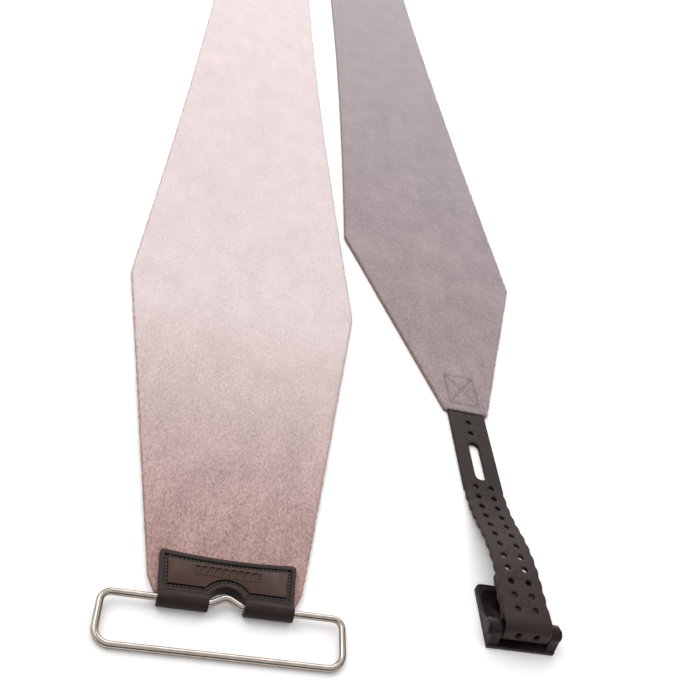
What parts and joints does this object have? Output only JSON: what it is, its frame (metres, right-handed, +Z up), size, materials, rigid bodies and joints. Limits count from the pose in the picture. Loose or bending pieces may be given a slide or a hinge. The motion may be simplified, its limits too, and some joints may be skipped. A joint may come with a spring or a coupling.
{
  "type": "climbing skins",
  "caption": "Pair of ski touring climbing skins with nap plush, rubber tip tab and wire loop, and a perforated rubber tail strap with a hook.",
  "frame": {"origin": "on the floor under the middle of the pair", "axes": "+Y along the skins, away from the left skin's tip; +X from the left skin to the right skin; +Z up, out of the plush"},
  "size_m": [0.2638, 1.7996, 0.014],
  "materials": {
    "plush": "short directional nap, satin sheen",
    "membrane": "thin coated backing",
    "glue": "tacky satin adhesive",
    "tab_rubber": "satin moulded rubber",
    "thread": "twisted polyester thread",
    "tail_thread": "twisted polyester thread",
    "loop_steel": "bright drawn stainless wire",
    "strap_rubber": "matt moulded rubber",
    "hook_plastic": "matt moulded nylon",
    "patch_fabric": "tight woven patch"
  },
  "bodies": {
    "left_front": {"left_plush_front": "plush", "left_membrane_front": "membrane", "left_glue_front": "glue", "left_tip_tab": "tab_rubber", "left_tip_stitching": "thread"},
    "left_rear": {"left_plush_rear": "plush", "left_membrane_rear": "membrane", "left_glue_rear": "glue", "left_tail_patch": "patch_fabric", "left_strap_root": "strap_rubber", "left_tail_stitching": "tail_thread"},
    "left_loop": {"left_tip_loop": "loop_steel"},
    "left_strap": {"left_tail_strap": "strap_rubber", "left_peg_plate": "hook_plastic"},
    "left_hook": {"left_tail_hook": "hook_plastic"},
    "right_front": {"right_plush_front": "plush", "right_membrane_front": "membrane", "right_glue_front": "glue", "right_tip_tab": "tab_rubber", "right_tip_stitching": "thread"},
    "right_rear": {"right_plush_rear": "plush", "right_membrane_rear": "membrane", "right_glue_rear": "glue", "right_tail_patch": "patch_fabric", "right_strap_root": "strap_rubber", "right_tail_stitching": "tail_thread"},
    "right_loop": {"right_tip_loop": "loop_steel"},
    "right_strap": {"right_tail_strap": "strap_rubber", "right_peg_plate": "hook_plastic"},
    "right_hook": {"right_tail_hook": "hook_plastic"}
  },
  "joints": [
    {"name": "left_storage_fold", "type": "hinge", "parent": "left_front", "child": "left_rear", "pos_m": [-0.06543, -0.01, -0.0005], "axis": [-1, 0, 0], "range_deg": [0, 180]},
    {"name": "left_loop_hinge", "type": "hinge", "parent": "left_front", "child": "left_loop", "pos_m": [-0.06543, -0.8775, 0.0036], "axis": [-1, 0, 0], "range_deg": [-100, 165]},
    {"name": "left_strap_flex", "type": "hinge", "parent": "left_rear", "child": "left_strap", "pos_m": [-0.06543, 0.735, 0.0011], "axis": [1, 0, 0], "range_deg": [-75, 90]},
    {"name": "left_hook_pivot", "type": "hinge", "parent": "left_strap", "child": "left_hook", "pos_m": [-0.06543, 0.8737, 0.0069], "axis": [1, 0, 0], "range_deg": [-10, 90]},
    {"name": "right_skin_lift", "type": "slide", "parent": "left_front", "child": "right_front", "axis": [0, 0, 1], "range_m": [0, 0.3]},
    {"name": "right_storage_fold", "type": "hinge", "parent": "right_front", "child": "right_rear", "pos_m": [0.06543, 0.01, -0.0005], "axis": [1, 0, 0], "range_deg": [0, 180]},
    {"name": "right_loop_hinge", "type": "hinge", "parent": "right_front", "child": "right_loop", "pos_m": [0.06543, 0.8775, 0.0036], "axis": [1, 0, 0], "range_deg": [-100, 165]},
    {"name": "right_strap_flex", "type": "hinge", "parent": "right_rear", "child": "right_strap", "pos_m": [0.06543, -0.735, 0.0011], "axis": [-1, 0, 0], "range_deg": [-75, 90]},
    {"name": "right_hook_pivot", "type": "hinge", "parent": "right_strap", "child": "right_hook", "pos_m": [0.06543, -0.8737, 0.0069], "axis": [-1, 0, 0], "range_deg": [-10, 90]}
  ]
}
